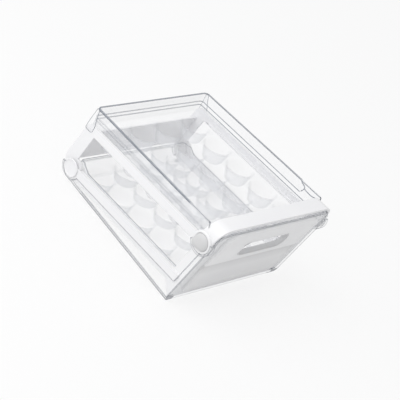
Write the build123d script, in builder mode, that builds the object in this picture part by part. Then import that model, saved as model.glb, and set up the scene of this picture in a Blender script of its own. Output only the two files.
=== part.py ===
from build123d import *
import math
import os

os.makedirs("parts", exist_ok=True)

# Two-tier egg box. Millimetres, Z up, front toward -Y. The origin is on the shelf under the box's middle.
# Both tiers share one tilted frame that starts at the hinge axis, low at the back:
# u runs along the rails toward the back, w is square to the rails, upward.

# Egg cells
cell = 51.0
columns = 4
rows = 5
cup_radius = 22.6
cup_depth = 24.5
low_cup_depth = 18.5
cup_draft = 17.0
cup_wall = 1.4
cup_sides = 18

# Stance of the tiers
tier_tilt = 5.1
post_lean = 16.0
hinge_height = 25.2
tier_rise = 68.0
first_row_setback = 27.8
front_room = 17.8

# Across the box
side_room = 5.5
plate = 3.0
gap = 0.3
bin_wall = 2.4

# Rails and posts of the white side frames
upper_rail_top = 77.5
upper_rail_height = 14.1
lower_rail_top = 5.9
lower_rail_height = 12.8
back_post_outer = 24.2
back_post_width = 20.8
front_post_width = 19.4
arm_corner = 12.0
deck_below_rail = 7.9
ledge_width = 3.0
ledge_thickness = 2.4
rail_tongue = 3.0
skirt = 9.0
head_slope = 6.0

# Hinge
lobe_radius = 16.4
heel_reach = 25.0
heel_height = 8.0
heel_width = 19.0
heel_corner = 12.0
heel_slack = 5.0
heel_round = 2.2
disc_radius = 13.4
disc_thickness = 2.4
disc_rim = 1.8
disc_recess = 0.8
turned_sides = 32
pin_radius = 6.0
pin_play = 0.05
lug_radius = 10.0
lug_thickness = 2.6
cradle_wall = 4.0
cradle_run = 28.0
lobe_leaves = 72.0
open_angle = 60.0

# Front
wall_below_rim = 5.8
wall_corner = 20.0
panel_inset = 18.5
panel_below_rim = 8.8
panel_foot = -31.0
panel_thickness = 2.4
panel_step_height = 35.0
panel_step = 1.2
crosswall = 2.0
crosswall_below_rim = 12.3
slot_length = 86.0
slot_height = 27.6
slot_middle = 58.4
slot_corner = 12.0
slot_rim = 2.0

# Handle arch and latch knobs
knob_setback = 15.4
knob_below_rail = 2.8
arch_over_rim = 2.5
arch_depth = 23.5
arch_thickness = 3.4
arch_leg = 3.2
arch_corner = 20.0
boss_radius = 15.8
boss_length = 7.2
boss_recess = 3.0
recess_radius = 12.4
ear_wall = 3.2
ear_lip_angle = 20.0
knob_dome = 4.0
knob_shaft = 5.0
tab_length = 5.3
tab_angle = 34.0
tab_spread = 44.0
knob_narrowing = 1.5

# Trays
deck = 1.6
tray_wall = 2.0
tray_rise = 26.8
rim_width = 2.0
rim_thickness = 2.4
step_below_rim = 12.0
step_width = 1.2
tray_back = 4.6
tray_back_lean = 10.2
tray_corner = 8.0
lip_length = 212.0
lip_corner = 4.0
hook_drop = 11.0
hook_reach = 14.3
hook_wall = 1.6
low_tray_back = -2.3
low_back_height = 15.0
low_rim_height = 8.0
low_corner_notch = 12.0
cheek_depth = 9.0

# Clear bin
bin_edge = 12.0
bin_toe = 6.0

# Back panel
back_panel_foot = 3.0
back_panel_top = 60.0
back_panel_setback = 7.0
back_panel_thickness = 2.5
back_wall_drop = 8.0

tilt_cos = math.cos(math.radians(tier_tilt))
tilt_sin = math.sin(math.radians(tier_tilt))
lean_cos = math.cos(math.radians(post_lean))
lean_sin = math.sin(math.radians(post_lean))
lean_tan = math.tan(math.radians(post_lean))
back_rise = math.tan(math.radians(tray_back_lean))

frame_half_width = cell * columns / 2 + side_room
front_reach = first_row_setback + cell * (rows - 1) + front_room
bin_half_width = frame_half_width + gap + bin_wall
inner_face = frame_half_width - plate
tray_half_width = inner_face - gap
upper_rail_foot = upper_rail_top - upper_rail_height
lower_rail_foot = lower_rail_top - lower_rail_height
upper_deck = upper_rail_top - deck_below_rail
lower_deck = upper_deck - tier_rise
rim_height = upper_rail_top + tray_rise
arch_top = rim_height + arch_over_rim
wall_top = rim_height - wall_below_rim
panel_top = rim_height - panel_below_rim
panel_half_width = frame_half_width - panel_inset
crosswall_top = rim_height - crosswall_below_rim
knob_height = upper_rail_top - knob_below_rail
knob_reach = front_reach - knob_setback / lean_cos + knob_height * lean_tan
arch_half_width = frame_half_width + arch_leg
grid_middle = -first_row_setback - cell * (rows - 1) / 2
back_post_inner = back_post_outer - back_post_width / lean_cos
back_face = back_post_outer - back_panel_setback
wall_back = bin_wall + gap
front_post_inner = -front_reach + (wall_back + front_post_width) / lean_cos
ledge_length = cell * (rows - 1)
crosswall_back = wall_back + crosswall
tray_front = crosswall_back + 4 * gap
far = 400.0

# The box's middle lies half way between the panel's top edge and the heels of the arms
panel_edge_u = front_reach + panel_top * lean_tan + panel_thickness * lean_cos
panel_edge_w = panel_top - panel_thickness * lean_sin
front_extent = panel_edge_u * tilt_cos - panel_edge_w * tilt_sin
hinge_to_middle = (front_extent - back_post_outer + heel_round) / 2


def front_u(w, behind=0.0):
    """Place along the rails, at height w, of what lies this far behind the leaning front face."""
    return -front_reach + behind / lean_cos - w * lean_tan


def post_u(w, start):
    """Place along the rails, at height w, of a line that leans like the posts."""
    return start - w * lean_tan


def floor_w(u, above=0.0):
    """Height over the rails' own frame of a point this far above the shelf."""
    return (u * tilt_sin - hinge_height + above) / tilt_cos


def front_foot(inset=0.0):
    """Where the leaning front meets the bottom of the bin, both moved inward by the inset."""
    level = -front_reach + inset / lean_cos + lean_tan * (hinge_height - inset) / tilt_cos
    return level / (1 + lean_tan * tilt_sin / tilt_cos)


def in_box(u, w):
    """Point of the box's middle plane from its place in the tilted frame."""
    y = hinge_to_middle + u * tilt_cos + w * tilt_sin
    z = hinge_height - u * tilt_sin + w * tilt_cos
    return Vector(0, y, z)


def side_plane(x):
    """Upright plane at x. Its own axes are u and w."""
    return Plane(in_box(0, 0) + Vector(x, 0, 0), x_dir=(0, tilt_cos, -tilt_sin), z_dir=(1, 0, 0))


def across_plane():
    """Plane square to the rails, ahead of the box. Its own axes are x and w."""
    return Plane(in_box(-far, 0), x_dir=(1, 0, 0), z_dir=(0, -tilt_cos, tilt_sin))


def level_plane(w):
    """Plane along the rails at height w. Its own axes are x and u."""
    return Plane(in_box(0, w), x_dir=(1, 0, 0), z_dir=(0, tilt_sin, tilt_cos))


def front_plane(behind=0.0):
    """Plane along the leaning front, facing forward. Its own axes are x and the way up the slope."""
    facing = math.radians(post_lean - tier_tilt)
    outer = Plane(in_box(front_u(0), 0), x_dir=(1, 0, 0), z_dir=(0, -math.cos(facing), -math.sin(facing)))
    return outer.offset(-behind)


def side_name(stem, side):
    return stem + ("_left" if side < 0 else "_right")


def upright_outline(half_width, foot, top, corner, behind=0.0):
    """Rectangle along the leaning front with its two top corners rounded."""
    with BuildSketch(front_plane(behind)) as outline:
        with Locations((0, foot / lean_cos)):
            Rectangle(2 * half_width, (top - foot) / lean_cos, align=(Align.CENTER, Align.MIN))
        fillet(outline.vertices().group_by(Axis.Y)[-1], radius=corner)
    return outline.sketch


def slot_outline(grow, behind=0.0):
    """The finger slot in the front, larger all round by what is given."""
    with BuildSketch(front_plane(behind)) as outline:
        with Locations((0, slot_middle / lean_cos)):
            RectangleRounded(slot_length + 2 * grow, slot_height + 2 * grow, slot_corner + grow)
    return outline.sketch


def arch_outline(half_width, top, corner):
    """Outline of an arch seen along the rails, from the middle of its bosses to its rounded top."""
    with BuildSketch(across_plane()) as outline:
        with Locations((0, knob_height)):
            Rectangle(2 * half_width, top - knob_height, align=(Align.CENTER, Align.MIN))
        fillet(outline.vertices().group_by(Axis.Y)[-1], radius=corner)
    return outline.sketch


def leaning_band(half_width, near, deep):
    """Side view of a band above the bosses that leans with the front, between two faces behind it."""
    with BuildSketch(side_plane(-half_width)) as band:
        with BuildLine():
            Polyline(
                (front_u(knob_height, near), knob_height),
                (front_u(far, near), far),
                (front_u(far, deep), far),
                (front_u(knob_height, deep), knob_height),
                close=True,
            )
        make_face()
    return band.sketch


def bin_solid(inset):
    """The bin as a solid block, smaller on every side by the inset."""
    toe = front_foot(inset)
    lobe = lobe_radius + gap + cradle_wall - inset
    heel = -cradle_run + inset / 2
    under_lobe = (-lobe * math.cos(math.radians(lobe_leaves)), -lobe * math.sin(math.radians(lobe_leaves)))
    with BuildPart() as block:
        with BuildSketch(side_plane(-bin_half_width + inset)) as profile:
            with BuildLine():
                Polyline(
                    (toe, floor_w(toe, inset)),
                    (front_u(lobe, inset), lobe),
                    (0, lobe),
                    (0, 0),
                    under_lobe,
                    (heel, floor_w(heel, inset)),
                    close=True,
                )
            make_face()
            Circle(lobe)
            toe_corner = profile.vertices().sort_by_distance((toe, floor_w(toe, inset), 0))[0]
            fillet(toe_corner, radius=bin_toe - inset / 2)
        extrude(amount=2 * (bin_half_width - inset))
        with BuildSketch(Plane.XZ) as section:
            with Locations((0, inset)):
                Rectangle(2 * (bin_half_width - inset), far, align=(Align.CENTER, Align.MIN))
            fillet(section.vertices().group_by(Axis.Y)[0], radius=bin_edge - inset)
        extrude(amount=far, both=True, mode=Mode.INTERSECT)
    return block.part


def tear_outline(x, inset):
    """Outline of a latch knob at x: a circle that swells into a finger tab on one side."""
    corners = []
    for number in range(turned_sides):
        turn = 360 * number / turned_sides
        away = min(1, abs(math.remainder(turn + tab_angle, 360)) / tab_spread)
        reach = recess_radius - gap - inset + tab_length * (1 + math.cos(math.pi * away)) / 2
        corner_u = -knob_reach + reach * math.cos(math.radians(turn))
        corner_w = knob_height + reach * math.sin(math.radians(turn))
        corners.append((corner_u, corner_w))
    with BuildSketch(side_plane(x)) as outline:
        with BuildLine():
            Polyline(*corners, close=True)
        make_face()
    return outline.sketch


rail_end = front_u(upper_rail_foot, wall_back) + rail_tongue

# Clear bin
with BuildPart() as bin_shell:
    add(bin_solid(0))
    add(bin_solid(bin_wall), mode=Mode.SUBTRACT)
    # the side walls stop under the heads of the lower rails, the back wall a little higher
    wall_head = lower_rail_foot - gap
    with BuildSketch(side_plane(-bin_half_width)):
        with BuildLine():
            Polyline(
                (-far, wall_head),
                (0, wall_head),
                (0, 0),
                (far, 0),
                (far, far),
                (-far, far),
                close=True,
            )
        make_face()
    extrude(amount=2 * bin_half_width, mode=Mode.SUBTRACT)
    # between the arms the back wall is lower, so that the back panel can swing over it
    with BuildSketch(side_plane(-inner_face)):
        with Locations((0, -back_wall_drop)):
            Rectangle(far, far, align=(Align.MIN, Align.MIN))
    extrude(amount=2 * inner_face, mode=Mode.SUBTRACT)
    # front wall, almost as high as the arch
    front_sheet = upright_outline(bin_half_width, wall_head - bin_wall, wall_top, wall_corner)
    extrude(front_sheet, amount=-bin_wall)
    extrude(slot_outline(slot_rim + gap), amount=-bin_wall, mode=Mode.SUBTRACT)
    for side in (-1, 1):
        wall_side = side_plane(side * (frame_half_width + gap))
        ear_length = boss_length - gap
        # cheek behind each front edge, up to the ear
        cheek_top = knob_height - boss_radius
        with BuildSketch(wall_side) as cheek:
            with BuildLine():
                Polyline(
                    (front_u(wall_head - bin_wall), wall_head - bin_wall),
                    (front_u(cheek_top), cheek_top),
                    (front_u(cheek_top, cheek_depth), cheek_top),
                    (front_u(wall_head - bin_wall, cheek_depth), wall_head - bin_wall),
                    close=True,
                )
            make_face()
        extrude(cheek.sketch, amount=side * bin_wall)
        # ear under the boss of the arch, open upward
        with BuildSketch(wall_side) as ear:
            with Locations((-knob_reach, knob_height)):
                Circle(boss_radius + gap + ear_wall)
        extrude(ear.sketch, amount=side * ear_length)
        with BuildSketch(side_plane(side * (frame_half_width - gap))) as above_ear:
            with Locations((-knob_reach, knob_height)):
                Circle(boss_radius + gap)
            with Locations(Location((-knob_reach, knob_height), -ear_lip_angle)):
                Rectangle(far, far, align=(Align.CENTER, Align.MIN))
        extrude(above_ear.sketch, amount=side * (boss_length + gap), mode=Mode.SUBTRACT)
        # round seat for the end of the lower rail, and a slot behind it for the heel of the arm
        with BuildSketch(wall_side) as seat:
            Circle(lobe_radius + gap)
        extrude(seat.sketch, amount=side * bin_wall, mode=Mode.SUBTRACT)
        with BuildSketch(side_plane(side * (inner_face - gap))) as heel_way:
            Circle(heel_reach + gap)
            with Locations(Location((0, 0), -open_angle - heel_slack)):
                Rectangle(far, far, align=(Align.CENTER, Align.MAX), mode=Mode.SUBTRACT)
            Circle(lobe_radius + gap)
        extrude(heel_way.sketch, amount=side * (plate + 2 * gap), mode=Mode.SUBTRACT)
bin_shell.part.label = "bin"
export_step(bin_shell.part, "parts/bin.step")


def rail_head(x, hole_radius):
    """Outline of the bottom rail's head at x, round at the hinge, with a hole round the hinge axis."""
    with BuildSketch(side_plane(x)) as head:
        with BuildLine():
            Polyline(
                (0, lower_rail_foot),
                (0, lower_rail_top),
                (front_u(lower_rail_top, cheek_depth + gap), lower_rail_top),
                (front_u(lower_rail_foot, cheek_depth + gap), lower_rail_foot),
                close=True,
            )
        make_face()
        Circle(lobe_radius)
        with Locations((0, lower_rail_top)):
            Rectangle(far, far, align=(Align.CENTER, Align.MIN), mode=Mode.SUBTRACT)
        with Locations(Location((0, 0), -head_slope)):
            Rectangle(far, far, align=(Align.MIN, Align.MIN), mode=Mode.SUBTRACT)
        Circle(hole_radius, mode=Mode.SUBTRACT)
    return head.sketch


# Side frames, left and right
for side in (-1, 1):
    inner = side_plane(side * inner_face)
    post_top = upper_rail_foot - gap
    skirt_foot = lower_rail_foot - skirt
    post_foot = floor_w(front_u(0), bin_edge)
    seat_radius = lobe_radius + gap

    # Lower frame: front post, and a bottom rail whose head lies over the wall of the bin
    with BuildPart() as lower_frame:
        with BuildSketch(inner) as post_and_skirt:
            with BuildLine():
                Polyline(
                    (0, skirt_foot),
                    (0, lower_rail_top),
                    (post_u(lower_rail_top, front_post_inner), lower_rail_top),
                    (post_u(post_top, front_post_inner), post_top),
                    (front_u(post_top, wall_back), post_top),
                    (front_u(post_foot, wall_back), post_foot),
                    (front_u(skirt_foot, wall_back + front_post_width), skirt_foot),
                    close=True,
                )
            make_face()
            Circle(seat_radius, mode=Mode.SUBTRACT)
            Rectangle(far, far, align=(Align.MIN, Align.CENTER), mode=Mode.SUBTRACT)
        extrude(post_and_skirt.sketch, amount=side * plate)
        # head of the rail, round at the hinge, and the thin step that ties it to the plate
        extrude(rail_head(side * (frame_half_width + gap), pin_radius), amount=side * bin_wall)
        extrude(rail_head(side * frame_half_width, heel_reach + gap), amount=side * gap)
        # ledge under the edge of the lower tray
        with BuildSketch(inner) as ledge:
            with Locations((grid_middle, lower_deck - deck)):
                Rectangle(ledge_length, ledge_thickness, align=(Align.CENTER, Align.MAX))
        extrude(ledge.sketch, amount=-side * ledge_width)
        # lug inside the arm, which holds the inner end of the hinge pin
        with BuildSketch(side_plane(side * (inner_face - gap))) as lug:
            with BuildLine():
                Polyline(
                    (0, lower_deck - deck - 2 * gap),
                    (0, -lug_radius),
                    (-heel_reach - lug_radius, skirt_foot),
                    (-heel_reach - lug_radius, lower_deck - deck - 2 * gap),
                    close=True,
                )
            make_face()
            Circle(lug_radius)
            Circle(pin_radius, mode=Mode.SUBTRACT)
        extrude(lug.sketch, amount=-side * lug_thickness)
        with BuildSketch(inner) as lug_root:
            with Locations((-heel_reach - lug_radius, skirt_foot)):
                Rectangle(lug_radius, -lower_rail_foot, align=(Align.MIN, Align.MIN))
        extrude(lug_root.sketch, amount=-side * gap)
    name = side_name("lower_frame", side)
    lower_frame.part.label = name
    export_step(lower_frame.part, "parts/" + name + ".step")

    # Upper arm: top rail and back post in one, with a round heel at the hinge
    with BuildPart() as upper_arm:
        with BuildSketch(inner) as outline:
            with BuildLine():
                Polyline(
                    (post_u(0, back_post_inner), 0),
                    (post_u(upper_rail_foot, back_post_inner), upper_rail_foot),
                    (rail_end, upper_rail_foot),
                    (rail_end, upper_rail_top),
                    (post_u(upper_rail_top, back_post_outer), upper_rail_top),
                    (post_u(heel_height, back_post_outer), heel_height),
                    (heel_width, 0),
                    close=True,
                )
            make_face()
            back_top = (post_u(upper_rail_top, back_post_outer), upper_rail_top, 0)
            fillet(outline.vertices().sort_by_distance(back_top)[0], radius=arm_corner)
            heel = (post_u(heel_height, back_post_outer), heel_height, 0)
            fillet(outline.vertices().sort_by_distance(heel)[0], radius=heel_corner)
            Circle(lobe_radius)
            Circle(pin_radius + pin_play, mode=Mode.SUBTRACT)
        extrude(outline.sketch, amount=side * plate)
        # ledge under the edge of the upper tray
        with BuildSketch(inner) as ledge:
            with Locations((grid_middle, upper_deck - deck)):
                Rectangle(ledge_length, ledge_thickness, align=(Align.CENTER, Align.MAX))
        extrude(ledge.sketch, amount=-side * ledge_width)
    name = side_name("upper_arm", side)
    upper_arm.part.label = name
    export_step(upper_arm.part, "parts/" + name + ".step")

    # Hinge disc with its pin, seated in the lower frame
    with BuildPart() as hinge_disc:
        with BuildSketch(side_plane(side * bin_half_width)) as cap:
            RegularPolygon(disc_radius, turned_sides)
        extrude(cap.sketch, amount=side * disc_thickness)
        with BuildSketch(side_plane(side * (bin_half_width + disc_thickness))) as cap_face:
            RegularPolygon(disc_radius - disc_rim, turned_sides)
        extrude(cap_face.sketch, amount=-side * disc_recess, mode=Mode.SUBTRACT)
        with BuildSketch(side_plane(side * bin_half_width)) as pin:
            Circle(pin_radius)
        extrude(pin.sketch, amount=-side * (bin_half_width - inner_face + gap + lug_thickness))
    name = side_name("hinge_disc", side)
    hinge_disc.part.label = name
    export_step(hinge_disc.part, "parts/" + name + ".step")

    # Latch knob: a dome with a finger tab, on a shaft through the boss and the arm
    with BuildPart() as latch_knob:
        seat_x = side * (frame_half_width + boss_length - boss_recess)
        with BuildSketch(side_plane(seat_x + side * gap)) as base:
            with Locations((-knob_reach, knob_height)):
                RegularPolygon(recess_radius - gap, turned_sides)
        extrude(base.sketch, amount=side * boss_recess)
        dome_foot = seat_x + side * (boss_recess + gap)
        dome_top = dome_foot + side * knob_dome
        loft([tear_outline(dome_foot, 0), tear_outline(dome_top, knob_narrowing)], ruled=True)
        with BuildSketch(side_plane(seat_x + side * gap)) as shaft:
            with Locations((-knob_reach, knob_height)):
                Circle(knob_shaft)
        extrude(shaft.sketch, amount=-side * (boss_length - boss_recess))
    name = side_name("latch_knob", side)
    latch_knob.part.label = name
    export_step(latch_knob.part, "parts/" + name + ".step")


# Crosswall between the front posts
with BuildPart() as front_crosswall:
    crosswall_foot = floor_w(front_u(0), bin_edge / 2)
    sheet = upright_outline(inner_face, crosswall_foot, crosswall_top, wall_corner, wall_back)
    extrude(sheet, amount=-crosswall)
    extrude(slot_outline(slot_rim + gap, wall_back), amount=-crosswall, mode=Mode.SUBTRACT)
front_crosswall.part.label = "front_crosswall"
export_step(front_crosswall.part, "parts/front_crosswall.step")

# Front panel, with a rim round the finger slot that reaches in through both walls
with BuildPart() as front_panel:
    upper = upright_outline(panel_half_width, panel_step_height, panel_top, wall_corner)
    extrude(upper, amount=panel_thickness)
    with BuildSketch(front_plane()) as lower:
        with Locations((0, panel_foot / lean_cos)):
            Rectangle(
                2 * panel_half_width,
                (panel_step_height - panel_foot) / lean_cos,
                align=(Align.CENTER, Align.MIN),
            )
        fillet(lower.vertices().group_by(Axis.Y)[0], radius=wall_corner / 2)
    extrude(lower.sketch, amount=panel_thickness - panel_step)
    extrude(slot_outline(slot_rim), amount=-crosswall_back)
    extrude(slot_outline(0), amount=far, both=True, mode=Mode.SUBTRACT)
front_panel.part.label = "front_panel"
export_step(front_panel.part, "parts/front_panel.step")

# Handle arch over the front, a band that leans with it, with a boss at each foot
with BuildPart() as handle_arch:
    extrude(arch_outline(arch_half_width, arch_top, arch_corner), amount=-far)
    inner = arch_outline(frame_half_width, arch_top - arch_thickness, arch_corner - arch_leg)
    extrude(inner, amount=-far, mode=Mode.SUBTRACT)
    band = leaning_band(arch_half_width, wall_back, wall_back + arch_depth)
    extrude(band, amount=2 * arch_half_width, mode=Mode.INTERSECT)
    for side in (-1, 1):
        with BuildSketch(side_plane(side * frame_half_width)) as boss:
            with Locations((-knob_reach, knob_height)):
                RegularPolygon(boss_radius, turned_sides)
        extrude(boss.sketch, amount=side * boss_length)
        with BuildSketch(side_plane(side * (frame_half_width + boss_length - boss_recess))) as recess:
            with Locations((-knob_reach, knob_height)):
                RegularPolygon(recess_radius, turned_sides)
        extrude(recess.sketch, amount=side * boss_recess, mode=Mode.SUBTRACT)
        with BuildSketch(side_plane(side * frame_half_width)) as shaft_hole:
            with Locations((-knob_reach, knob_height)):
                Circle(knob_shaft + pin_play)
        extrude(shaft_hole.sketch, amount=side * boss_length, mode=Mode.SUBTRACT)
handle_arch.part.label = "handle_arch"
export_step(handle_arch.part, "parts/handle_arch.step")

# Back panel between the back posts
with BuildPart() as back_panel:
    panel_depth = back_panel_thickness / lean_cos
    with BuildSketch(side_plane(-inner_face)):
        with BuildLine():
            Polyline(
                (post_u(back_panel_foot, back_face), back_panel_foot),
                (post_u(back_panel_top, back_face), back_panel_top),
                (post_u(back_panel_top, back_face - panel_depth), back_panel_top),
                (post_u(back_panel_foot, back_face - panel_depth), back_panel_foot),
                close=True,
            )
        make_face()
    extrude(amount=2 * inner_face)
back_panel.part.label = "back_panel"
export_step(back_panel.part, "parts/back_panel.step")


def faceted_cup(radius, fall, narrowing):
    """Solid cup that hangs from its mouth: a polygon that narrows on its way down, with flat sides."""
    rings = []
    for down in (0, fall):
        reach = radius - down * narrowing
        turns = [2 * math.pi * number / cup_sides for number in range(cup_sides)]
        rings.append([(reach * math.sin(turn), reach * math.cos(turn), -down) for turn in turns])
    mouth, floor = rings
    facets = [Face(Wire.make_polygon(ring)) for ring in rings]
    for number in range(cup_sides):
        corners = (mouth[number - 1], mouth[number], floor[number], floor[number - 1])
        facets.append(Face(Wire.make_polygon(corners)))
    return Solid(Shell(facets))


def add_cups(deck_top, middle, pitch, depth):
    """Egg cups under a deck, hollow from above, in the piece being built."""
    narrowing = math.tan(math.radians(cup_draft))
    hollow_mouth = cup_radius + deck * narrowing - cup_wall
    for height, radius, fall, way in (
        (deck_top - deck, cup_radius, depth, Mode.ADD),
        (deck_top, hollow_mouth, depth + deck - cup_wall, Mode.SUBTRACT),
    ):
        cup = faceted_cup(radius, fall, narrowing)
        with Locations(level_plane(height)):
            with Locations((0, middle)):
                with GridLocations(cell, pitch, columns, rows):
                    add(cup, mode=way)


def tray_side(half_width, foot, top, inset, back):
    """Side view of a tray between two heights, between its leaning front and a back wall."""
    with BuildSketch(side_plane(-half_width)) as outline:
        with BuildLine():
            Polyline(
                (front_u(foot, tray_front + inset), foot),
                (front_u(top, tray_front + inset), top),
                (back - inset - top * back_rise, top),
                (back - inset - foot * back_rise, foot),
                close=True,
            )
        make_face()
    return outline.sketch


# Space that the handle arch takes, with a gap round it
with BuildPart() as arch_space:
    space_half_width = tray_half_width + rim_width
    extrude(leaning_band(space_half_width, 0, wall_back + arch_depth + gap), amount=2 * space_half_width)
    under_arch = arch_outline(
        frame_half_width - 2 * gap,
        arch_top - arch_thickness - 2 * gap,
        arch_corner - arch_leg - 2 * gap,
    )
    extrude(under_arch, amount=-far, mode=Mode.SUBTRACT)

# Upper tray: a deck of cups inside a tall wall, with a step inside and a lip outside
with BuildPart() as upper_tray:
    deck_foot = upper_deck - deck
    step = rim_height - step_below_rim
    inside = tray_half_width - tray_wall
    back = tray_back + deck_foot * back_rise
    extrude(tray_side(tray_half_width, deck_foot, rim_height, 0, back), amount=2 * tray_half_width)
    straight_edges = upper_tray.edges().filter_by(GeomType.LINE)
    fillet(straight_edges.filter_by(lambda edge: abs(edge.tangent_at(0).Z) > 0.9), radius=tray_corner)
    # lip round the rim, outside
    with BuildSketch(level_plane(rim_height)) as lip:
        with Locations((0, back - rim_height * back_rise + rim_width)):
            Rectangle(2 * (tray_half_width + rim_width), lip_length, align=(Align.CENTER, Align.MAX))
        fillet(lip.vertices().group_by(Axis.Y)[-1], radius=lip_corner)
    extrude(lip.sketch, amount=-rim_thickness)
    # hooks at the back corners, which reach over the arms and down outside them
    hook_foot = upper_rail_top - hook_drop
    hook_top = upper_rail_top + gap + hook_wall
    for side in (-1, 1):
        for near_x, far_x, foot in (
            (tray_half_width - tray_corner, frame_half_width + gap + hook_wall, upper_rail_top + gap),
            (frame_half_width + gap, frame_half_width + gap + hook_wall, hook_foot),
        ):
            with BuildSketch(side_plane(side * near_x)) as hook:
                with BuildLine():
                    Polyline(
                        (back - foot * back_rise, foot),
                        (back - hook_top * back_rise, hook_top),
                        (back - hook_top * back_rise - hook_reach, hook_top),
                        (back - foot * back_rise - hook_reach, foot),
                        close=True,
                    )
                make_face()
            extrude(hook.sketch, amount=side * (far_x - near_x))
    # hollow, a little wider above the step
    for half_width, foot, top, inset in (
        (inside - step_width, upper_deck, step, tray_wall + step_width),
        (inside, step, rim_height, tray_wall),
    ):
        extrude(tray_side(half_width, foot, top, inset, back), amount=2 * half_width, mode=Mode.SUBTRACT)
    add_cups(upper_deck, grid_middle, cell, cup_depth)
    add(arch_space.part, mode=Mode.SUBTRACT)
upper_tray.part.label = "upper_tray"
export_step(upper_tray.part, "parts/upper_tray.step")

# Lower tray: the same cups inside a low wall that rises at the back
with BuildPart() as lower_tray:
    deck_foot = lower_deck - deck
    low_front = front_u(deck_foot, tray_front + tray_wall)
    low_pitch = (low_tray_back - tray_wall - low_front) / rows
    low_middle = (low_tray_back - tray_wall + low_front) / 2
    with BuildSketch(side_plane(-tray_half_width)) as outline:
        with BuildLine():
            Polyline(
                (front_u(deck_foot, tray_front), deck_foot),
                (front_u(low_rim_height, tray_front), low_rim_height),
                (low_tray_back - 2 * low_corner_notch, low_rim_height),
                (low_tray_back - low_corner_notch, low_back_height),
                (low_tray_back, low_back_height),
                (low_tray_back, deck_foot),
                close=True,
            )
        make_face()
    extrude(outline.sketch, amount=2 * tray_half_width)
    # the back corners stand clear of the hinge lugs
    notch_half_width = inner_face - 2 * gap - lug_thickness
    for side in (-1, 1):
        with BuildSketch(level_plane(deck_foot)) as corner:
            with Locations((side * notch_half_width, low_tray_back)):
                away = Align.MIN if side > 0 else Align.MAX
                Rectangle(tray_wall + far, low_corner_notch, align=(away, Align.MAX))
        extrude(corner.sketch, amount=far, mode=Mode.SUBTRACT)
    with BuildSketch(level_plane(lower_deck)) as hollow:
        with Locations((0, low_tray_back - tray_wall)):
            Rectangle(
                2 * (notch_half_width - tray_wall),
                low_tray_back - tray_wall - low_front,
                align=(Align.CENTER, Align.MAX),
            )
        with Locations((0, low_tray_back - tray_wall - low_corner_notch)):
            Rectangle(
                2 * (tray_half_width - tray_wall),
                low_tray_back - tray_wall - low_corner_notch - low_front,
                align=(Align.CENTER, Align.MAX),
            )
    extrude(hollow.sketch, amount=far, mode=Mode.SUBTRACT)
    add_cups(lower_deck, low_middle, low_pitch, low_cup_depth)
lower_tray.part.label = "lower_tray"
export_step(lower_tray.part, "parts/lower_tray.step")
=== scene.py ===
import math

import bmesh
import bpy
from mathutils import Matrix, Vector


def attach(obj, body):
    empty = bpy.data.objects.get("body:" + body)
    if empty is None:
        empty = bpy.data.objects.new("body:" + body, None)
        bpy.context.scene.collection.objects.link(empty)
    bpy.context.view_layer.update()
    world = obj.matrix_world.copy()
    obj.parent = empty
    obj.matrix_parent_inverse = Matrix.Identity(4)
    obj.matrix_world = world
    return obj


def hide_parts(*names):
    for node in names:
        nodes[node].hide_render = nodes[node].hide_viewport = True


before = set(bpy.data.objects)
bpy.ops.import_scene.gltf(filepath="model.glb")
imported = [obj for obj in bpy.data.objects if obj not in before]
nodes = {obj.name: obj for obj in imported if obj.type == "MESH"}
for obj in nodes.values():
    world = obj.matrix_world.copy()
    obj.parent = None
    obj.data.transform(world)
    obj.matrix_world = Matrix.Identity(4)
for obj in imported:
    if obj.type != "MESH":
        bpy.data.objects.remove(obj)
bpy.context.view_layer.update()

# Clear bin. The tub that carries everything: side walls, a rounded back end and a leaning front wall.
# It is moulded in one piece of clear plastic with polished faces, so it shows mostly by its edges.
# Near its edges the colour carries painted grey-blue shade, for the darker surroundings that the clear
# edges reflect and bend.
bin_half_width = 0.1084
painted_edge_shade = (0.15, 0.163, 0.195, 1)
edge_alpha = 0.88
shade_share = 0.18
bevel_samples = 6


def add_node(tree, kind, inputs=None, **settings):
    """New shader node. Each input takes a plain value, or another node's output to link from."""
    made = tree.nodes.new(kind)
    for setting, value in settings.items():
        setattr(made, setting, value)
    for socket, value in (inputs or {}).items():
        if isinstance(value, bpy.types.NodeSocket):
            tree.links.new(value, made.inputs[socket])
        else:
            made.inputs[socket].default_value = value
    return made


def worked_out(tree, operation, *values):
    """Output of one step of arithmetic on values or outputs."""
    return add_node(tree, "ShaderNodeMath", dict(enumerate(values)), operation=operation).outputs["Value"]


def rescaled(tree, value, low, high, to_low=0.0, to_high=1.0):
    """Output that goes from to_low to to_high as the value goes from low to high, and no further."""
    span = {"Value": value, "From Min": low, "From Max": high, "To Min": to_low, "To Max": to_high}
    return add_node(tree, "ShaderNodeMapRange", span).outputs["Result"]


def blended(tree, value, low, low_colour, high, high_colour):
    """Colour that goes from one to another as the value goes from low to high."""
    ramp = add_node(tree, "ShaderNodeValToRGB", {"Fac": value})
    first, last = ramp.color_ramp.elements
    first.position = low
    first.color = (*low_colour, 1)
    last.position = high
    last.color = (*high_colour, 1)
    return ramp.outputs["Color"]


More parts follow.
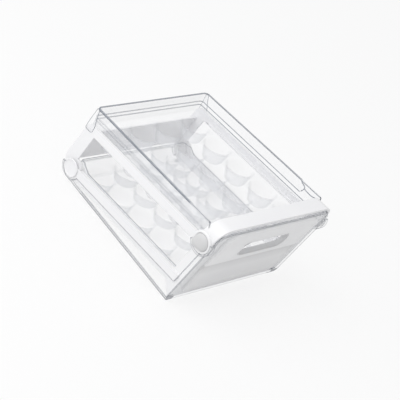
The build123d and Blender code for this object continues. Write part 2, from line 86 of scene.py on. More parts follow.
def clear_plastic(name, face_tint, slant_painted_shade, face_alpha, slant_alpha, line_width, corner_reach=None):
    """Polished clear plastic: thin where looked through squarely, with painted grey-blue shade where seen
    along the wall.

    Near an edge its colour is painted darker and the plastic turns denser, for the surroundings that the
    edge reflects and bends.
    Within the corner_reach of the bin's rounded bottom edges it paints a broader dark line, for the light
    those edges bend aside.
    """
    material = bpy.data.materials.new(name)
    material.use_nodes = True
    tree = material.node_tree
    shader = tree.nodes["Principled BSDF"]
    shader.inputs["Roughness"].default_value = 0.08
    shader.inputs["IOR"].default_value = 1.49
    place = add_node(tree, "ShaderNodeTexCoord").outputs["Object"]
    flow = add_node(tree, "ShaderNodeTexNoise", {"Vector": place, "Scale": 18.0, "Detail": 2.0})
    waves = {"Height": flow.outputs["Fac"], "Strength": 0.05, "Distance": 0.002}
    ripple = add_node(tree, "ShaderNodeBump", waves)
    tree.links.new(ripple.outputs["Normal"], shader.inputs["Normal"])
    # how far the rounded normal turns away from the face tells how near an edge is
    rounded = add_node(tree, "ShaderNodeBevel", {"Radius": line_width}, samples=bevel_samples)
    flat = add_node(tree, "ShaderNodeNewGeometry")
    normals = {0: rounded.outputs["Normal"], 1: flat.outputs["Normal"]}
    turn = add_node(tree, "ShaderNodeVectorMath", normals, operation="DOT_PRODUCT")
    line = rescaled(tree, turn.outputs["Value"], 0.985, 0.80)
    slant = add_node(tree, "ShaderNodeLayerWeight", {"Blend": 0.35}).outputs["Facing"]
    if corner_reach is not None:
        apart = add_node(tree, "ShaderNodeSeparateXYZ", {"Vector": place})
        sideways = worked_out(tree, "ABSOLUTE", apart.outputs["X"])
        at_side = worked_out(tree, "GREATER_THAN", sideways, bin_half_width - corner_reach)
        at_foot = worked_out(tree, "LESS_THAN", apart.outputs["Z"], corner_reach)
        on_corner = worked_out(tree, "MULTIPLY", at_side, at_foot)
        painted_corner_line = worked_out(tree, "MULTIPLY", on_corner, rescaled(tree, slant, 0.3, 0.6))
        line = worked_out(tree, "MAXIMUM", line, painted_corner_line)
    # painted shade: the colour turns grey-blue at a slant, and to the dark edge colour along the edges
    tint = blended(tree, slant, 0.35, face_tint, 0.9, slant_painted_shade)
    tones = {"Factor": line, "A": tint, "B": painted_edge_shade}
    toned = add_node(tree, "ShaderNodeMix", tones, data_type="RGBA")
    tree.links.new(toned.outputs["Result"], shader.inputs["Base Color"])
    veil = rescaled(tree, slant, 0.3, 0.95, face_alpha, slant_alpha)
    opacity = worked_out(tree, "MAXIMUM", veil, worked_out(tree, "MULTIPLY", line, edge_alpha))
    # the walls dim the light that falls through them only a little
    ray = add_node(tree, "ShaderNodeLightPath").outputs
    lighting = worked_out(tree, "MAXIMUM", ray["Is Shadow Ray"], ray["Is Diffuse Ray"])
    passing = rescaled(tree, lighting, 0.0, 1.0, 1.0, shade_share)
    tree.links.new(worked_out(tree, "MULTIPLY", opacity, passing), shader.inputs["Alpha"])
    return material


def dress(name, material):
    """Give a solid its material."""
    nodes[name].data.materials.clear()
    nodes[name].data.materials.append(material)


bin_clear = clear_plastic(
    "bin_clear",
    face_tint=(0.93, 0.94, 0.95),
    slant_painted_shade=(0.4, 0.42, 0.46),
    face_alpha=0.04,
    slant_alpha=0.4,
    line_width=0.0026,
    corner_reach=0.012,
)
dress("bin", bin_clear)

# Side frames, side arms, crosswall and back panel. Flat mouldings in white plastic, satin on their faces.
# The lower frames and the crosswall are seated in the bin, the arms and the back panel tip up together.
# Their mould edges are rounded, so each corner carries a thin highlight.
sides = ((-1, "left"), (1, "right"))


def moulded_white(name, colour, edge_radius):
    """White plastic with a faint cloud in its colour, a fine grain and softened edges."""
    material = bpy.data.materials.new(name)
    material.use_nodes = True
    tree = material.node_tree
    shader = tree.nodes["Principled BSDF"]
    shader.inputs["Specular IOR Level"].default_value = 0.4
    place = add_node(tree, "ShaderNodeTexCoord").outputs["Object"]
    cloud = add_node(tree, "ShaderNodeTexNoise", {"Vector": place, "Scale": 14.0, "Detail": 3.0})
    dimmer = (colour[0] * 0.97, colour[1] * 0.97, colour[2] * 0.98)
    shade = blended(tree, cloud.outputs["Fac"], 0.3, dimmer, 0.7, colour)
    tree.links.new(shade, shader.inputs["Base Color"])
    grain = add_node(tree, "ShaderNodeTexNoise", {"Vector": place, "Scale": 900.0, "Detail": 4.0})
    satin = rescaled(tree, grain.outputs["Fac"], 0.0, 1.0, 0.37, 0.43)
    tree.links.new(satin, shader.inputs["Roughness"])
    soft_edge = add_node(tree, "ShaderNodeBevel", {"Radius": edge_radius}, samples=bevel_samples)
    relief = {
        "Height": grain.outputs["Fac"],
        "Normal": soft_edge.outputs["Normal"],
        "Strength": 0.006,
        "Distance": 0.0002,
    }
    bump = add_node(tree, "ShaderNodeBump", relief)
    tree.links.new(bump.outputs["Normal"], shader.inputs["Normal"])
    return material


white_plastic = moulded_white("white_plastic", (0.86, 0.86, 0.866), 0.0008)
for side, hand in sides:
    dress("lower_frame_" + hand, white_plastic)
    dress("upper_arm_" + hand, white_plastic)
dress("front_crosswall", white_plastic)
dress("back_panel", white_plastic)

# Front panel. A white cover plate seated on the clear front wall, with its lower part set back a little
# and a finger slot whose lip is rolled inward. One injection moulding, smooth and slightly glossy.
tier_tilt = math.radians(5.1)
post_lean = math.radians(16.0)
hinge_y = 0.12388
hinge_z = 0.0252
front_reach = 0.2496
panel_half_width = 0.0890
panel_top = 0.0955
panel_foot = -0.0310
panel_corner = 0.0200
panel_low_corner = 0.0100
panel_thickness = 0.0024
panel_edge = 0.0008
wall_depth = 0.0026
crease_height = 0.0350
crease_drop = 0.0012
crease_half_width = 0.0011
crease_cuts = (-0.0012, -0.0005, 0.0005, 0.0012)
slot_half_width = 0.0430
slot_half_height = 0.0138
slot_middle = 0.0584
slot_corner = 0.0120
slot_depth = 0.0047
slot_face_reach = 0.0012
corner_points = 8
panel_spokes = 5


def in_box(x, u, w):
    """Point from its place in the tilted frame of the tiers: u toward the back, w square to the rails."""
    return Vector(
        (
            x,
            hinge_y + u * math.cos(tier_tilt) + w * math.sin(tier_tilt),
            hinge_z - u * math.sin(tier_tilt) + w * math.cos(tier_tilt),
        )
    )


def on_front(x, slope, out):
    """Point over the leaning front: x, the way up its slope, and the height over its face."""
    w = slope * math.cos(post_lean) - out * math.sin(post_lean)
    u = -front_reach - slope * math.sin(post_lean) - out * math.cos(post_lean)
    return in_box(x, u, w)


def moulding(name, faces_of, body, material, *edge_materials):
    """Piece on a body, from a function that fills a mesh with its faces."""
    mesh = bpy.data.meshes.new(name)
    work = bmesh.new()
    faces_of(work)
    bmesh.ops.remove_doubles(work, verts=work.verts, dist=1e-6)
    bmesh.ops.recalc_face_normals(work, faces=work.faces)
    for face in work.faces:
        face.smooth = True
    work.to_mesh(mesh)
    work.free()
    piece = bpy.data.objects.new(name, mesh)
    bpy.context.scene.collection.objects.link(piece)
    for finish in (material, *edge_materials):
        mesh.materials.append(finish)
    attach(piece, body)
    return piece


def skin(work, rings, closed=True):
    """Quads between rings of the same number of points. Returns the rings' points."""
    rows_made = [[work.verts.new(point) for point in ring] for ring in rings]
    count = len(rows_made[0])
    for low, high in zip(rows_made, rows_made[1:]):
        for at in range(count if closed else count - 1):
            work.faces.new((low[at], low[(at + 1) % count], high[(at + 1) % count], high[at]))
    return rows_made


def held(share):
    """A share kept between none and all."""
    return min(1.0, max(0.0, share))


def rounded_outline(half_width, low, high, corner_low, corner_high):
    """Points round an upright rectangle with rounded corners, the same number on each corner."""
    corners = (
        (1, 1, corner_high, 0),
        (-1, 1, corner_high, 90),
        (-1, -1, corner_low, 180),
        (1, -1, corner_low, 270),
    )
    points = []
    for way_x, way_y, corner, start in corners:
        middle_x = way_x * (half_width - corner)
        middle_y = high - corner if way_y > 0 else low + corner
        for step in range(corner_points):
            turn = math.radians(start + 90 * step / (corner_points - 1))
            points.append((middle_x + corner * math.cos(turn), middle_y + corner * math.sin(turn)))
    return points


def set_back(slope):
    """How far the panel's face lies behind its full height at this place up the slope."""
    crease = crease_height / math.cos(post_lean)
    share = held((crease + crease_half_width - slope) / (2 * crease_half_width))
    return crease_drop * share * share * (3 - 2 * share)


def panel_cover(work):
    low = panel_foot / math.cos(post_lean)
    high = panel_top / math.cos(post_lean)
    centre = (high + low) / 2
    middle = slot_middle / math.cos(post_lean)
    outer = rounded_outline(panel_half_width, low, high, panel_low_corner, panel_corner)
    slot_low = middle - slot_half_height
    slot_high = middle + slot_half_height
    slot = rounded_outline(slot_half_width, slot_low, slot_high, slot_corner, slot_corner)
    # from the foot of the skirt, which reaches through the clear wall, over the rounded edge
    edge_rings = (
        (0.0, panel_thickness + wall_depth),
        (0.0, panel_edge),
        (0.25 * panel_edge, 0.375 * panel_edge),
        (panel_edge, 0.0),
    )
    rings = []
    for inset, drop in edge_rings:
        scale_x = (panel_half_width - inset) / panel_half_width
        scale_y = (high - low - 2 * inset) / (high - low)
        rings.append([(x * scale_x, centre + (y - centre) * scale_y, drop) for x, y in outer])
    face_edge = rings[-1]
    for step in range(1, panel_spokes):
        part = step / panel_spokes
        ring = []
        for (near_x, near_y, drop), (far_x, far_y) in zip(face_edge, slot):
            ring.append((near_x + (far_x - near_x) * part, near_y + (far_y - near_y) * part, drop))
        rings.append(ring)
    # the lip swells over the face, rolls into the slot and runs in as far as the inner wall
    lip_rings = (
        (0.0026, 0.0),
        (0.0020, -0.0005),
        (0.0012, -0.0008),
        (0.0005, -0.0005),
        (0.0, 0.0004),
        (0.0, panel_thickness + slot_depth),
    )
    for grow, drop in lip_rings:
        scale_x = (slot_half_width + grow) / slot_half_width
        scale_y = (slot_half_height + grow) / slot_half_height
        rings.append([(x * scale_x, middle + (y - middle) * scale_y, drop) for x, y in slot])
    flat = bmesh.new()
    skin(flat, [[Vector(point) for point in ring] for ring in rings])
    for height in crease_cuts:
        everything = flat.verts[:] + flat.edges[:] + flat.faces[:]
        cut = (0, crease_height / math.cos(post_lean) + height, 0)
        bmesh.ops.bisect_plane(flat, geom=everything, plane_co=cut, plane_no=(0, 1, 0))
    points = {}
    for vert in flat.verts:
        x, slope, drop = vert.co
        fall = drop + set_back(slope) if drop < panel_thickness else drop
        points[vert] = work.verts.new(on_front(x, slope, panel_thickness - fall))
    for face in flat.faces:
        made = work.faces.new([points[vert] for vert in face.verts])
        place = face.calc_center_median()
        in_width = abs(place.x) < slot_half_width + slot_face_reach
        in_height = abs(place.y - middle) < slot_half_height + slot_face_reach
        made.material_index = 1 if in_width and in_height else 0
    flat.free()


# painted shade: the panel's colour is darkened toward its foot and just under its crease, where its face
# takes less light
shade_height = 0.16
crease_level = 0.5
panel_shade_levels = (
    (0.05, 0.74),
    (0.075, 0.88),
    (crease_level - 0.14, 0.9),
    (crease_level - 0.012, 0.77),
    (crease_level + 0.004, 0.98),
    (0.8, 0.95),
)
foot_level = 0.7
top_level = 0.97
panel_plastic = moulded_white("panel_plastic", (0.9, 0.9, 0.902), 0.0006)
tree = panel_plastic.node_tree
shader = tree.nodes["Principled BSDF"]
place = add_node(tree, "ShaderNodeTexCoord").outputs["Object"]
apart = add_node(tree, "ShaderNodeSeparateXYZ", {"Vector": place})
height = rescaled(tree, apart.outputs["Z"], 0.0, shade_height)
depth = add_node(tree, "ShaderNodeValToRGB", {"Fac": height})
for position, level in panel_shade_levels:
    depth.color_ramp.elements.new(position).color = (level, level, level, 1)
depth.color_ramp.elements[0].color = (foot_level, foot_level, foot_level, 1)
depth.color_ramp.elements[-1].color = (top_level, top_level, top_level, 1)
plain_colour = shader.inputs["Base Color"].links[0].from_socket
factors = {"Factor": 1.0, "A": plain_colour, "B": depth.outputs["Color"]}
shaded = add_node(tree, "ShaderNodeMix", factors, data_type="RGBA", blend_type="MULTIPLY")
tree.links.new(shaded.outputs["Result"], shader.inputs["Base Color"])
# painted shade: the inside of the slot is the same white, darkened in its colour for the panel's own shade
slot_painted_shade = moulded_white("slot_painted_shade", (0.62, 0.62, 0.624), 0.0004)
front_panel = moulding("front_panel_cover", panel_cover, "base", panel_plastic, slot_painted_shade)
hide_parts("front_panel")

# Hinge discs. White caps with a raised rim, seated in the lower frames.
# Each is moulded in one piece with the pin that the arm turns on.
disc_radius = 0.0134
disc_height = 0.0024
pin_radius = 0.0060
pin_length = 0.0086
frame_side = 0.1102
round_steps = 64


def turned(name, side, face_x, u, w, outline, body, material, closed=False):
    """Round moulding on an axis across the box, from its outline of radius and height over a side face."""

    def rings_of(work):
        rings = []
        for radius, out in outline:
            ring = []
            for at in range(round_steps):
                turn = 2 * math.pi * at / round_steps
                across = radius * math.cos(turn)
                up = radius * math.sin(turn)
                ring.append(in_box(side * (face_x + out), u + across, w + up))
            rings.append(ring)
        if closed:
            rings.append(rings[0])
        made = skin(work, rings)
        if not closed:
            work.faces.new(reversed(made[0]))
            work.faces.new(made[-1])

    return moulding(name, rings_of, body, material)


disc_outline = (
    (0.9 * pin_radius, -pin_length),
    (pin_radius, 0.1 * pin_radius - pin_length),
    (pin_radius, 0.0),
    (disc_radius - 0.0003, 0.0),
    (disc_radius, 0.0003),
    (disc_radius, disc_height - 0.0009),
    (disc_radius - 0.0003, disc_height - 0.0003),
    (disc_radius - 0.0009, disc_height),
    (disc_radius - 0.0014, disc_height - 0.0001),
    (disc_radius - 0.0018, disc_height - 0.0005),
    (disc_radius - 0.0021, disc_height - 0.0008),
    (disc_radius - 0.0027, disc_height - 0.0009),
    (pin_radius / 2, disc_height - 0.0008),
)
for side, hand in sides:
    disc = turned("hinge_cap_" + hand, side, frame_side, 0, 0, disc_outline, "base", white_plastic)
    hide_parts("hinge_disc_" + hand)

# Upper tray. One thin clear sheet: a deck with a grid of tapered cups, and tall walls drawn up from its
# edge, with a step inside and a lip turned out over the arms. It rests on the arms, and at the back
# corners a hook reaches over each arm and down outside it. A thick S-shaped end closes its right lip.
cell = 0.051
columns = 4
rows = 5
cell_side_steps = 12
cup_radius = 0.0216
cup_draft = math.tan(math.radians(17.0))
cup_wall_steps = 5
cup_floor_steps = 4
mouth_edge = 0.0016
floor_edge = 0.005
sheet = 0.0015
tray_half_width = 0.1042
tray_behind_front = 0.0059


def front_u(w, behind=0.0):
    """Where the leaning front stands at height w, or a face this far behind it."""
    return -front_reach + behind / math.cos(post_lean) - w * math.tan(post_lean)


def thicken(piece, thickness, rim_material=0):
    """Give a sheet its thickness, half to each side. Its rim can take a material of its own."""
    wall = piece.modifiers.new("wall", "SOLIDIFY")
    wall.thickness = thickness
    wall.offset = 0.0
    wall.use_even_offset = False
    wall.material_offset_rim = rim_material


def cup_profile(depth):
    """Radius and fall below the deck, from the rounded mouth to the rounded floor of a cup."""
    wall_top = 0.8 * mouth_edge
    wall_foot = depth - floor_edge
    foot_radius = cup_radius - depth * cup_draft
    profile = [
        (cup_radius + mouth_edge, 0.0),
        (cup_radius + 0.4 * mouth_edge, 0.2 * mouth_edge),
        (cup_radius, wall_top),
    ]
    for step in range(1, cup_wall_steps + 1):
        fall = wall_top + (wall_foot - wall_top) * step / cup_wall_steps
        profile.append((cup_radius - fall * cup_draft, fall))
    corner = profile[-1][0]
    for step in range(1, cup_floor_steps + 1):
        turn = math.radians(90 * step / cup_floor_steps)
        narrowing = (corner - foot_radius + floor_edge) * (1 - math.cos(turn))
        profile.append((corner - narrowing, wall_foot + floor_edge * math.sin(turn)))
    profile.append((0.3 * foot_radius, depth))
    return profile


def spread(start, end):
    """Evenly spaced values along one side of a cell, from its start up to its end but without it."""
    return [start + (end - start) * step / cell_side_steps for step in range(cell_side_steps)]


def square_ring(x_low, x_high, u_low, u_high):
    """Points round a cell's edge, evenly spaced on each side, from the corner at low x and low u."""
    ring = [(x, u_low) for x in spread(x_low, x_high)]
    ring += [(x_high, u) for u in spread(u_low, u_high)]
    ring += [(x, u_high) for x in spread(x_high, x_low)]
    ring += [(x_low, u) for u in spread(u_high, u_low)]
    return ring


def deck_outline(x_lines, u_lines):
    """Points round the whole deck, the same ones as on the edges of its outer cells."""
    outline = []
    for start, end in zip(x_lines, x_lines[1:]):
        outline += [(x, u_lines[-1]) for x in spread(start, end)]
    for start, end in zip(u_lines[::-1], u_lines[-2::-1]):
        outline += [(x_lines[-1], u) for u in spread(start, end)]
    for start, end in zip(x_lines[::-1], x_lines[-2::-1]):
        outline += [(x, u_lines[0]) for x in spread(start, end)]
    for start, end in zip(u_lines, u_lines[1:]):
        outline += [(x_lines[0], u) for u in spread(start, end)]
    return outline


def rounded_edge(x, u, box, corner):
    """Point of a rectangle's edge, moved onto its rounded corner where it lies near one."""
    x_low, x_high, u_low, u_high = box
    near_x = x_high if x > (x_low + x_high) / 2 else x_low
    near_u = u_high if u > (u_low + u_high) / 2 else u_low
    way_x = 1 if near_x == x_high else -1
    way_u = 1 if near_u == u_high else -1
    from_x = abs(near_x - x)
    from_u = abs(near_u - u)
    if max(from_x, from_u) >= corner:
        return x, u
    turn = math.radians(45) + math.radians(45) * (from_x - from_u) / corner
    return (
        near_x + way_x * corner * (math.cos(turn) - 1),
        near_u + way_u * corner * (math.sin(turn) - 1),
    )


def cup_tray(work, deck_w, x_lines, u_lines, cup_depth, pitch, first_u, wall_rings, wall_place, bends=()):
    """Deck, cups and walls of one tray as a single sheet.

    The wall takes a painted dark line from each ring in bends to the next one, as far forward as the ring's
    end.
    """
    box = (x_lines[0], x_lines[-1], u_lines[-1], u_lines[0])
    for column in range(columns):
        for row in range(rows):
            middle_x = (column - (columns - 1) / 2) * cell
            middle_u = first_u - row * pitch
            edge = square_ring(x_lines[column], x_lines[column + 1], u_lines[row + 1], u_lines[row])
            rings = [[in_box(*wall_place(x, u, box, wall_rings[0])) for x, u in edge]]
            for radius, fall in cup_profile(cup_depth):
                ring = []
                for at in range(len(edge)):
                    turn = math.radians(225) + 2 * math.pi * at / len(edge)
                    x = middle_x + radius * math.cos(turn)
                    u = middle_u + radius * math.sin(turn)
                    ring.append(in_box(x, u, deck_w - fall))
                rings.append(ring)
            work.faces.new(reversed(skin(work, rings)[-1]))
    outline = deck_outline(x_lines, u_lines)
    made = skin(work, [[in_box(*wall_place(x, u, box, ring)) for x, u in outline] for ring in wall_rings])
    for number, front_end in bends:
        here = set(made[number]) | set(made[number + 1])
        for point in made[number]:
            for face in point.link_faces:
                if here.issuperset(face.verts) and face.calc_center_median().y > hinge_y + front_end:
                    face.material_index = 1


deck_height = 0.0688
deck_inset = 0.0046
upper_back = 0.0046
upper_back_rise = math.tan(math.radians(10.2))
upper_cup_depth = 0.0246
wall_corner = 0.005
wall_corner_least = 0.001
flare_at_front = 0.0045
rail_top = 0.0775
step_foot = 0.0834
step_height = 0.0890
step_end = -0.222
rim_height = 0.1043
rim_end = -0.211
lip_depth = 0.002
side_margin = 0.001
run_out_below_step = 0.004
run_out_inset = 0.0012
run_out_lip = -0.0002
arch_underside = 0.1030
arch_gap = 0.0016
arch_rear = 0.0262
arch_inside = 0.1075
arch_inside_corner = 0.0168


def under_arch(x):
    """Height of the handle arch's underside at x, which falls along its rounded ends."""
    past = max(0.0, abs(x) - arch_inside + arch_inside_corner)
    return arch_underside - arch_inside_corner + math.sqrt(max(0.0, arch_inside_corner**2 - past**2))


def upper_place(x, u, box, ring):
    """Place on the upper tray's wall of a point of the deck's edge, for a ring's inset and height."""
    inset, w = ring
    back = upper_back - (w - deck_height) * upper_back_rise - inset
    front = front_u(w, tray_behind_front) + inset / math.cos(post_lean)
    share_u = (u - box[2]) / (box[3] - box[2])
    along = front + share_u * (back - front)
    rise = max(0.0, (w - rail_top) / (rim_height - rail_top))
    flare = flare_at_front * rise * held((back - along) / (back - front))
    # ahead of an S-shaped end, the step and the lip run out and the wall stands a little further out
    if w > step_height - run_out_below_step and abs(x) > box[1] - side_margin:
        end = step_end + (rim_end - step_end) * held((w - step_height) / (rim_height - step_height))
        if along < end and w < rim_height - lip_depth:
            inset = min(inset, run_out_inset)
        elif along < end:
            inset = max(inset, run_out_lip)
    half = tray_half_width - inset + flare
    share_x = (x - box[0]) / (box[1] - box[0])
    across = -half + share_x * 2 * half
    corner = max(wall_corner_least, wall_corner - inset)
    across, along = rounded_edge(across, along, (-half, half, front, back), corner)
    if along < front_u(w, arch_rear):
        w = min(w, under_arch(across) - arch_gap)
    return across, along, w


upper_edge = tray_half_width - deck_inset
upper_x = [-upper_edge, -cell, 0.0, cell, upper_edge]
first_row = -0.0278
upper_front = front_u(deck_height, tray_behind_front) + deck_inset / math.cos(post_lean)
upper_u = [upper_back - deck_inset]
upper_u += [first_row - cell * (row + 0.5) for row in range(rows - 1)]
upper_u.append(upper_front)
lip_top = rim_height - sheet / 2
# inset and height of each ring, from the deck's edge up to the outside of the lip
upper_wall = (
    (deck_inset, deck_height),
    (0.0036, deck_height + 0.0003),
    (0.0029, deck_height + 0.0011),
    (0.0026, deck_height + 0.0024),
    (0.0025, step_foot - 0.0006),
    (0.0022, step_foot + 0.0002),
    (0.0013, step_height - 0.0006),
    (0.0010, step_height + 0.0002),
    (0.0009, step_height + 0.0070),
    (0.0009, lip_top - 0.00115),
    (0.0006, lip_top - 0.00035),
    (0.0, lip_top),
    (-0.0008, lip_top),
    (-0.00125, lip_top - 0.00035),
    (-0.00125, lip_top - 0.00165),
)
# the foot and the head of the step, and the lip, carry the painted dark lines
step_foot_ring = 4
step_head_ring = 6
lip_rings = range(11, 14)
lip_line_end = rim_end + 0.009
upper_bends = [(step_foot_ring, -front_reach), (step_head_ring, rim_end)]
upper_bends += [(number, lip_line_end) for number in lip_rings]


def upper_sheet(work):
    cup_tray(
        work,
        deck_height,
        upper_x,
        upper_u,
        upper_cup_depth,
        cell,
        first_row,
        upper_wall,
        upper_place,
        upper_bends,
    )


clear = clear_plastic(
    "tray_clear",
    face_tint=(0.8, 0.81, 0.84),
    slant_painted_shade=(0.45, 0.47, 0.51),
    face_alpha=0.11,
    slant_alpha=0.34,
    line_width=0.0011,
)
# painted shade: the trays' dark edge lines and sheet rims are darkened in colour, for the surroundings that
# the clear edges reflect and bend
tray_painted_edge = clear_plastic(
    "tray_painted_lines",
    face_tint=(0.24, 0.26, 0.3),
    slant_painted_shade=(0.2, 0.22, 0.26),
    face_alpha=0.72,
    slant_alpha=0.85,
    line_width=0.0013,
)
upper_tray = moulding("clear_upper_tray", upper_sheet, "upper_tier", clear, tray_painted_edge)
thicken(upper_tray, sheet, 1)
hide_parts("upper_tray")

hook_foot = 0.0666
hook_reach = 0.0143
hook_corner = 0.0028
hook_steps = 6
# x, height and share of the full reach of each row, from the lip's corner down to the hook's foot
hook_path = (
    (0.1052, 0.1025, 0.3),
    (0.1060, 0.0960, 0.45),
    (0.1069, 0.0900, 0.6),
    (0.1078, 0.0840, 0.8),
    (0.1084, 0.0790, 0.95),
    (0.1086, 0.0740, 1.0),
    (0.1086, hook_foot, 1.0),
)
for side, hand in sides:

    def hook_sheet(work):
        lines = []
        for x, w, share in hook_path:
            back = upper_back - (w - deck_height) * upper_back_rise
            step_u = share * hook_reach / hook_steps
            lines.append([in_box(side * x, back - step_u * step, w) for step in range(hook_steps + 1)])
        made = skin(work, lines, closed=False)
        corners = [made[-1][0], made[-1][-1]]
        bmesh.ops.bevel(work, geom=corners, offset=hook_corner, segments=4, profile=0.5, affect="VERTICES")

    hook = moulding("tray_hook_" + hand, hook_sheet, "upper_tier", clear, tray_painted_edge)
    thicken(hook, sheet, 1)
    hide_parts("upper_tray")

# u and w along the S-shaped end of the right lip, and along the top of the wall ahead of it
rim_end_path = (
    (rim_end, 0.1030),
    (-0.2135, 0.1008),
    (-0.2190, 0.0990),
    (-0.2212, 0.0968),
    (-0.2205, 0.0930),
    (-0.2190, 0.0905),
    (-0.2180, 0.0888),
)
wall_corner_path = (
    (-0.2208, 0.0956),
    (-0.2260, 0.0946),
    (-0.2340, 0.0942),
    (-0.2400, 0.0950),
    (-0.2450, 0.0966),
)
bead_radius = 0.0008
bead_sides = 8
bead_x = tray_half_width + 0.0036
# both beads are drawn in the painted dark edge material
for name, path in (("rim_end_bead", rim_end_path), ("wall_corner_bead", wall_corner_path)):

    def bead_rings(work):
        rings = []
        for at, (u, w) in enumerate(path):
            before = path[max(at - 1, 0)]
            after = path[min(at + 1, len(path) - 1)]
            along = Vector((after[0] - before[0], after[1] - before[1])).normalized()
            ring = []
            for number in range(bead_sides):
                turn = 2 * math.pi * number / bead_sides
                out = bead_radius * math.cos(turn)
                across = bead_radius * math.sin(turn)
                ring.append(in_box(bead_x + out, u - along.y * across, w + along.x * across))
            rings.append(ring)
        made = skin(work, rings)
        work.faces.new(reversed(made[0]))
        work.faces.new(made[-1])

    bead = moulding(name, bead_rings, "upper_tier", tray_painted_edge)
    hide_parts("upper_tray")

# Lower tray. A clear sheet with the same cups, less deep, inside a low wall that rises at the back.
# It rests on the lower frames, and its back corners are narrower to clear the lugs of the hinge.
lower_deck_height = 0.0008
lower_inset = 0.0028
lower_cup_depth = 0.0186
lower_back = -0.0023
lower_corner = 0.003
lower_rim = 0.0080
lower_back_rim = 0.0150
back_rim_start = 0.0240
back_rim_run = 0.0120
lug_clear = 0.1013
notch_reach = 0.0120


def lower_place(x, u, box, ring):
    """Place on the lower tray's wall of a point of the deck's edge. The back wall stands higher."""
    inset, w = ring
    back = lower_back - inset
    front = front_u(w, tray_behind_front) + inset / math.cos(post_lean)
    share_u = (u - box[2]) / (box[3] - box[2])
    along = front + share_u * (back - front)
    half = (lug_clear if along > back - notch_reach else tray_half_width) - inset
    share_x = (x - box[0]) / (box[1] - box[0])
    across = -half + share_x * 2 * half
    across, along = rounded_edge(across, along, (-half, half, front, back), lower_corner)
    if w > lower_deck_height:
        rise = held((along - back + back_rim_start) / back_rim_run)
        top = lower_rim + (lower_back_rim - lower_rim) * rise
        up_share = (w - lower_deck_height) / (lower_rim - lower_deck_height)
        w = lower_deck_height + (top - lower_deck_height) * up_share
    return across, along, w


lower_edge = tray_half_width - lower_inset
lower_front = front_u(lower_deck_height, tray_behind_front) + lower_inset / math.cos(post_lean)
lower_pitch = (lower_back - lower_inset - lower_front) / rows
lower_x = [-lower_edge, -cell, 0.0, cell, lower_edge]
lower_u = [lower_back - lower_inset - lower_pitch * row for row in range(rows + 1)]
lower_wall = (
    (lower_inset, lower_deck_height),
    (0.0016, lower_deck_height + 0.0003),
    (0.0010, lower_deck_height + 0.0012),
    (0.0009, lower_rim - 0.0010),
    (0.0009, lower_rim),
)


def lower_sheet(work):
    cup_tray(
        work,
        lower_deck_height,
        lower_x,
        lower_u,
        lower_cup_depth,
        lower_pitch,
        lower_u[0] - lower_pitch / 2,
        lower_wall,
        lower_place,
    )


lower_tray = moulding("clear_lower_tray", lower_sheet, "base", clear, tray_painted_edge)
thicken(lower_tray, sheet, 1)
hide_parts("lower_tray")

# Handle arch. One white moulding bent over the front: a flat band that leans with the front,
# sweeps down in a wide curve at each end and joins a round boss, which carries the latch knob.
arch_half_width = 0.1091
arch_top = 0.1051
arch_sweep = 0.0184
arch_thickness = 0.0033
arch_depth = 0.0235
arch_ahead = 0.0027
arch_steps = 12
arch_rows = 10
arch_edge = 0.0007
arch_foot_above_knob = 0.002
knob_reach = 0.2550
knob_height = 0.0747
boss_radius = 0.0158
boss_length = 0.0072
boss_recess = 0.0030
boss_bore = 0.0052
recess_radius = 0.0124
outer_face = 0.1075


def arch_band(work):
    end_of_sweep = arch_half_width - arch_sweep
    left_end = [(-arch_half_width, knob_height + arch_foot_above_knob)]
    for step in range(arch_steps + 1):
        turn = math.radians(180 - 90 * step / arch_steps)
        x = arch_sweep * math.cos(turn) - end_of_sweep
        left_end.append((x, arch_top - arch_sweep + arch_sweep * math.sin(turn)))
    top = [(2 * end_of_sweep * step / arch_steps - end_of_sweep, arch_top) for step in range(1, arch_steps)]
    right_end = [(-x, w) for x, w in reversed(left_end)]
    lines = []
    for x, w in left_end + top + right_end:
        line = []
        for step in range(arch_rows + 1):
            behind = arch_ahead + arch_depth * step / arch_rows
            line.append(in_box(x, front_u(w, behind), w))
        lines.append(line)
    skin(work, lines, closed=False)


handle_arch = moulding("handle_arch_band", arch_band, "upper_tier", white_plastic)
thicken(handle_arch, arch_thickness)
soft_edges = handle_arch.modifiers.new("soft edges", "BEVEL")
soft_edges.width = arch_edge
soft_edges.segments = 2
soft_edges.limit_method = "ANGLE"
soft_edges.angle_limit = math.radians(35)
soft_edges.harden_normals = True
boss_outline = (
    (boss_radius - 0.0006, 0.0),
    (boss_radius, 0.0006),
    (boss_radius, boss_length - 0.0016),
    (boss_radius - 0.0005, boss_length - 0.0005),
    (boss_radius - 0.0014, boss_length),
    (recess_radius + 0.0008, boss_length),
    (recess_radius + 0.0002, boss_length - 0.0003),
    (recess_radius, boss_length - 0.0010),
    (recess_radius - 0.0003, boss_length - boss_recess),
    (boss_bore, boss_length - boss_recess),
    (boss_bore, 0.0),
)
for side, hand in sides:
    boss = turned(
        "arch_boss_" + hand,
        side,
        outer_face,
        -knob_reach,
        knob_height,
        boss_outline,
        "upper_tier",
        white_plastic,
        closed=True,
    )
    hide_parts("handle_arch")
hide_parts("handle_arch")

# Latch knobs. A low dome with a finger tab on one side, moulded in white plastic in one piece
# with a shaft that turns in the boss of the arch.
knob_radius = 0.0121
knob_shaft = 0.0050
tab_reach = 0.0053
tab_turn = math.radians(-34.0)
tab_half_spread = math.radians(44.0)
tab_sharpness = 1.6
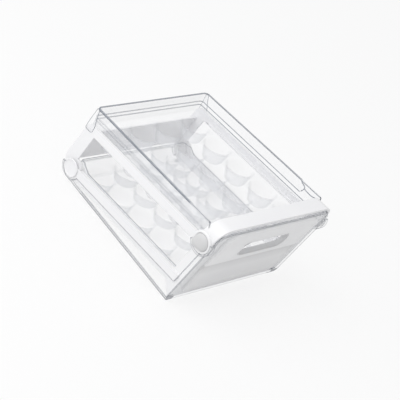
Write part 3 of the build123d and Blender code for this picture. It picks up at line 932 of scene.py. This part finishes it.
# radius, height over the arm's outer face and share of the tab for each ring, from the shaft to the top
knob_outline = (
    (0.8 * knob_shaft, 0.0003, 0.0),
    (knob_shaft, 0.0006, 0.0),
    (knob_shaft, 0.0045, 0.0),
    (knob_radius - 0.0002, 0.0045, 0.0),
    (knob_radius, 0.0047, 0.0),
    (knob_radius, 0.0062, 0.0),
    (knob_radius, 0.0074, 1.0),
    (0.975 * knob_radius, 0.0079, 0.97),
    (0.93 * knob_radius, 0.0085, 0.9),
    (0.85 * knob_radius, 0.0093, 0.78),
    (0.74 * knob_radius, 0.0101, 0.64),
    (0.60 * knob_radius, 0.0108, 0.48),
    (0.44 * knob_radius, 0.0112, 0.3),
    (0.26 * knob_radius, 0.01145, 0.12),
    (0.10 * knob_radius, 0.0115, 0.0),
)
# painted shade: the knob's white is darkened to grey in its colour, for the shade on its dome
knob_painted_shade = moulded_white("knob_painted_shade", (0.64, 0.64, 0.643), 0.0004)
for side, hand in sides:

    def knob_rings(work):
        rings = []
        for radius, out, tab in knob_outline:
            ring = []
            for at in range(round_steps):
                turn = 2 * math.pi * at / round_steps
                away = abs(math.remainder(turn - tab_turn, 2 * math.pi)) / tab_half_spread
                bulge = math.cos(away * math.pi / 2) ** tab_sharpness if away < 1 else 0.0
                reach = radius + tab * tab_reach * bulge
                u = -knob_reach + reach * math.cos(turn)
                w = knob_height + reach * math.sin(turn)
                ring.append(in_box(side * (outer_face + out), u, w))
            rings.append(ring)
        made = skin(work, rings)
        work.faces.new(reversed(made[0]))
        work.faces.new(made[-1])

    knob = moulding("latch_dome_" + hand, knob_rings, "knob_" + hand, knob_painted_shade)
    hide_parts("latch_knob_" + hand)

# Plain pale floor under the box. To the camera and in reflections most of its white is its own,
# and the rest is lit, so it keeps a soft shadow.
floor_half = 3.0
floor_height = -0.0002
floor_grey = 0.84
floor_roughness = 0.9
own_white = 0.8
white = (1, 1, 1, 1)
floor_corners = [(-floor_half, -floor_half, 0), (floor_half, -floor_half, 0)]
floor_corners += [(floor_half, floor_half, 0), (-floor_half, floor_half, 0)]
floor_mesh = bpy.data.meshes.new("floor")
floor_mesh.from_pydata(floor_corners, [], [(0, 1, 2, 3)])
floor = bpy.data.objects.new("floor", floor_mesh)
bpy.context.scene.collection.objects.link(floor)
floor.location.z = floor_height
pale = bpy.data.materials.new("pale_floor")
pale.use_nodes = True
tree = pale.node_tree
shader = tree.nodes["Principled BSDF"]
shader.inputs["Base Color"].default_value = (floor_grey, floor_grey, floor_grey, 1)
shader.inputs["Roughness"].default_value = floor_roughness
glow = add_node(tree, "ShaderNodeEmission", {"Color": white})
ray = add_node(tree, "ShaderNodeLightPath").outputs
seen = worked_out(tree, "MAXIMUM", ray["Is Camera Ray"], ray["Is Glossy Ray"])
share = worked_out(tree, "MULTIPLY", seen, own_white)
mix = add_node(tree, "ShaderNodeMixShader", {0: share, 1: shader.outputs[0], 2: glow.outputs[0]})
tree.links.new(mix.outputs[0], tree.nodes["Material Output"].inputs["Surface"])
floor_mesh.materials.append(pale)

# Soft studio light: an even pale room, white to the camera, and a broad lamp above on the left.
world = bpy.data.worlds.new("room")
bpy.context.scene.world = world
world.use_nodes = True
tree = world.node_tree
room = tree.nodes["Background"]
room.inputs["Color"].default_value = (0.99, 0.993, 1.0, 1)
room.inputs["Strength"].default_value = 0.75
backdrop = add_node(tree, "ShaderNodeBackground", {"Color": white})
ray = add_node(tree, "ShaderNodeLightPath").outputs
seen = worked_out(tree, "MAXIMUM", ray["Is Camera Ray"], ray["Is Transmission Ray"])
mix = add_node(tree, "ShaderNodeMixShader", {0: seen, 1: room.outputs[0], 2: backdrop.outputs[0]})
tree.links.new(mix.outputs[0], tree.nodes["World Output"].inputs["Surface"])

lamp_side = 1.4
lamp_data = bpy.data.lights.new("softbox", "AREA")
lamp_data.shape = "RECTANGLE"
lamp_data.size = lamp_side
lamp_data.size_y = lamp_side
lamp_data.energy = 12.5
lamp = bpy.data.objects.new("softbox", lamp_data)
bpy.context.scene.collection.objects.link(lamp)
lamp.location = (-1.0, 0.35, 1.3)
lamp.rotation_euler = (math.radians(-14), math.radians(-37), 0)

# Camera at the viewing angle of the photograph.
camera_data = bpy.data.cameras.new("camera")
camera_data.sensor_width = 36.0
camera_data.lens = 129.27
camera = bpy.data.objects.new("camera", camera_data)
bpy.context.scene.collection.objects.link(camera)
camera.location = (-1.3778, -0.9063, 1.1960)
camera.rotation_euler = (math.radians(51.827), math.radians(-23.909), math.radians(-39.477))
bpy.context.scene.camera = camera

bpy.context.scene.view_settings.view_transform = "Standard"
# the light passes many clear walls on its way into the box
bpy.context.scene.cycles.transparent_max_bounces = 32
